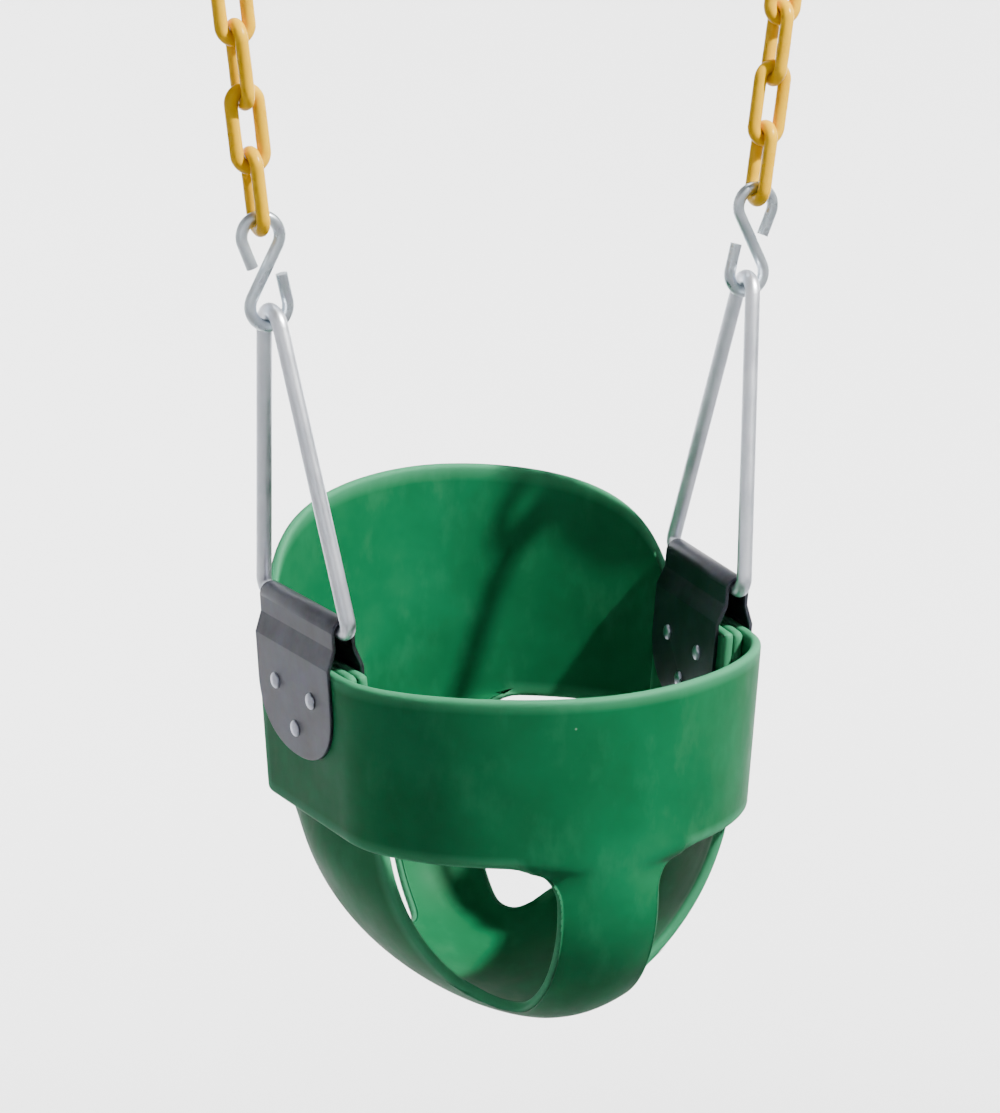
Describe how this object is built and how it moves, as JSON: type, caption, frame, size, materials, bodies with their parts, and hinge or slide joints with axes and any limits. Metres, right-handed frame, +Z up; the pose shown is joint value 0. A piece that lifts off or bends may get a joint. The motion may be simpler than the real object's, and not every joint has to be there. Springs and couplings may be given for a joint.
{
  "type": "high-back full-bucket toddler swing seat",
  "caption": "High-back full-bucket toddler swing seat with leg holes, folded bracket plates, triangle hangers, S-hooks and plastic-coated chains.",
  "frame": {"origin": "on the centre line, level with the lowest point of the seat, half way between the front and back of the bucket", "axes": "+Z up, -Y the front that the toddler faces, +X to the right seen from the front"},
  "size_m": [0.3694, 0.263, 0.6696],
  "materials": {
    "shell": "satin moulded EVA sheet, mid green, lighter rounded edges",
    "chain_coating": "glossy dipped plastisol, warm yellow",
    "chain_steel": "plain steel under the coating",
    "plate_zinc": "zinc-plated pressed sheet, slightly blue grey",
    "rivet_steel": "zinc-plated domed rivet heads",
    "hanger_zinc": "bright zinc-plated rod",
    "hook_zinc": "bright zinc-plated wire"
  },
  "bodies": {
    "beam_hooks": {"left_top_hook": "hook_zinc", "right_top_hook": "hook_zinc"},
    "left_link_5": {"left_link_5_core": "chain_steel", "left_link_5_coating": "chain_coating"},
    "left_link_4": {"left_link_4_core": "chain_steel", "left_link_4_coating": "chain_coating"},
    "left_link_3": {"left_link_3_core": "chain_steel", "left_link_3_coating": "chain_coating"},
    "left_link_2": {"left_link_2_core": "chain_steel", "left_link_2_coating": "chain_coating"},
    "left_link_1": {"left_link_1_core": "chain_steel", "left_link_1_coating": "chain_coating"},
    "left_s_hook": {"left_s_hook": "hook_zinc"},
    "left_hanger": {"left_hanger": "hanger_zinc"},
    "right_link_5": {"right_link_5_core": "chain_steel", "right_link_5_coating": "chain_coating"},
    "right_link_4": {"right_link_4_core": "chain_steel", "right_link_4_coating": "chain_coating"},
    "right_link_3": {"right_link_3_core": "chain_steel", "right_link_3_coating": "chain_coating"},
    "right_link_2": {"right_link_2_core": "chain_steel", "right_link_2_coating": "chain_coating"},
    "right_link_1": {"right_link_1_core": "chain_steel", "right_link_1_coating": "chain_coating"},
    "right_s_hook": {"right_s_hook": "hook_zinc"},
    "right_hanger": {"right_hanger": "hanger_zinc"},
    "seat": {"front_band": "shell", "front_stem": "shell", "seat_sling": "shell", "rear_strap": "shell", "back_panel": "shell", "left_plate": "plate_zinc", "right_plate": "plate_zinc", "left_rivets": "rivet_steel", "right_rivets": "rivet_steel"}
  },
  "joints": [
    {"name": "left_chain_swing", "type": "hinge", "parent": "beam_hooks", "child": "left_link_5", "pos_m": [-0.16524, 0.0065, 0.60655], "axis": [1, 0, 0], "range_deg": [-40, 40]},
    {"name": "left_link_4_flex", "type": "hinge", "parent": "left_link_5", "child": "left_link_4", "pos_m": [-0.16218, 0.0065, 0.58084], "axis": [1, 0, 0], "range_deg": [-8, 8]},
    {"name": "left_link_3_flex", "type": "hinge", "parent": "left_link_4", "child": "left_link_3", "pos_m": [-0.15733, 0.0065, 0.54022], "axis": [1, 0, 0], "range_deg": [-8, 8]},
    {"name": "left_link_2_flex", "type": "hinge", "parent": "left_link_3", "child": "left_link_2", "pos_m": [-0.15432, 0.0065, 0.5149], "axis": [1, 0, 0], "range_deg": [-8, 8]},
    {"name": "left_link_1_flex", "type": "hinge", "parent": "left_link_2", "child": "left_link_1", "pos_m": [-0.14947, 0.0065, 0.47429], "axis": [1, 0, 0], "range_deg": [-8, 8]},
    {"name": "left_hook_pitch", "type": "hinge", "parent": "left_link_1", "child": "left_s_hook", "pos_m": [-0.14641, 0.0065, 0.44857], "axis": [1, 0, 0], "range_deg": [-20, 20]},
    {"name": "left_hanger_sway", "type": "hinge", "parent": "left_s_hook", "child": "left_hanger", "pos_m": [-0.14047, 0.0065, 0.39882], "axis": [-0.0837, 0.9965, 0], "range_deg": [-3, 3]},
    {"name": "right_chain_swing", "type": "hinge", "parent": "beam_hooks", "child": "right_link_5", "pos_m": [0.16524, 0.0065, 0.60655], "axis": [1, 0, 0], "range_deg": [-40, 40]},
    {"name": "right_link_4_flex", "type": "hinge", "parent": "right_link_5", "child": "right_link_4", "pos_m": [0.16218, 0.0065, 0.58084], "axis": [1, 0, 0], "range_deg": [-8, 8]},
    {"name": "right_link_3_flex", "type": "hinge", "parent": "right_link_4", "child": "right_link_3", "pos_m": [0.15733, 0.0065, 0.54022], "axis": [1, 0, 0], "range_deg": [-8, 8]},
    {"name": "right_link_2_flex", "type": "hinge", "parent": "right_link_3", "child": "right_link_2", "pos_m": [0.15432, 0.0065, 0.5149], "axis": [1, 0, 0], "range_deg": [-8, 8]},
    {"name": "right_link_1_flex", "type": "hinge", "parent": "right_link_2", "child": "right_link_1", "pos_m": [0.14947, 0.0065, 0.47429], "axis": [1, 0, 0], "range_deg": [-8, 8]},
    {"name": "right_hook_pitch", "type": "hinge", "parent": "right_link_1", "child": "right_s_hook", "pos_m": [0.14641, 0.0065, 0.44857], "axis": [1, 0, 0], "range_deg": [-20, 20]},
    {"name": "right_hanger_sway", "type": "hinge", "parent": "right_s_hook", "child": "right_hanger", "pos_m": [0.14047, 0.0065, 0.39882], "axis": [0.0837, 0.9965, 0], "range_deg": [-3, 3]},
    {"name": "seat_on_bar", "type": "hinge", "parent": "left_hanger", "child": "seat", "pos_m": [-0.1207, 0.0065, 0.233], "axis": [-0.0837, 0.9965, 0], "range_deg": [-3.6, 3.6]}
  ],
  "couplings": [
    {"joint": "right_chain_swing", "follows": "left_chain_swing", "ratio": 1},
    {"joint": "right_link_4_flex", "follows": "left_link_4_flex", "ratio": 1},
    {"joint": "right_link_3_flex", "follows": "left_link_3_flex", "ratio": 1},
    {"joint": "right_link_2_flex", "follows": "left_link_2_flex", "ratio": 1},
    {"joint": "right_link_1_flex", "follows": "left_link_1_flex", "ratio": 1},
    {"joint": "right_hook_pitch", "follows": "left_hook_pitch", "ratio": 1},
    {"joint": "right_hanger_sway", "follows": "left_hanger_sway", "ratio": 1},
    {"joint": "seat_on_bar", "follows": "left_hanger_sway", "ratio": -1.1638}
  ]
}
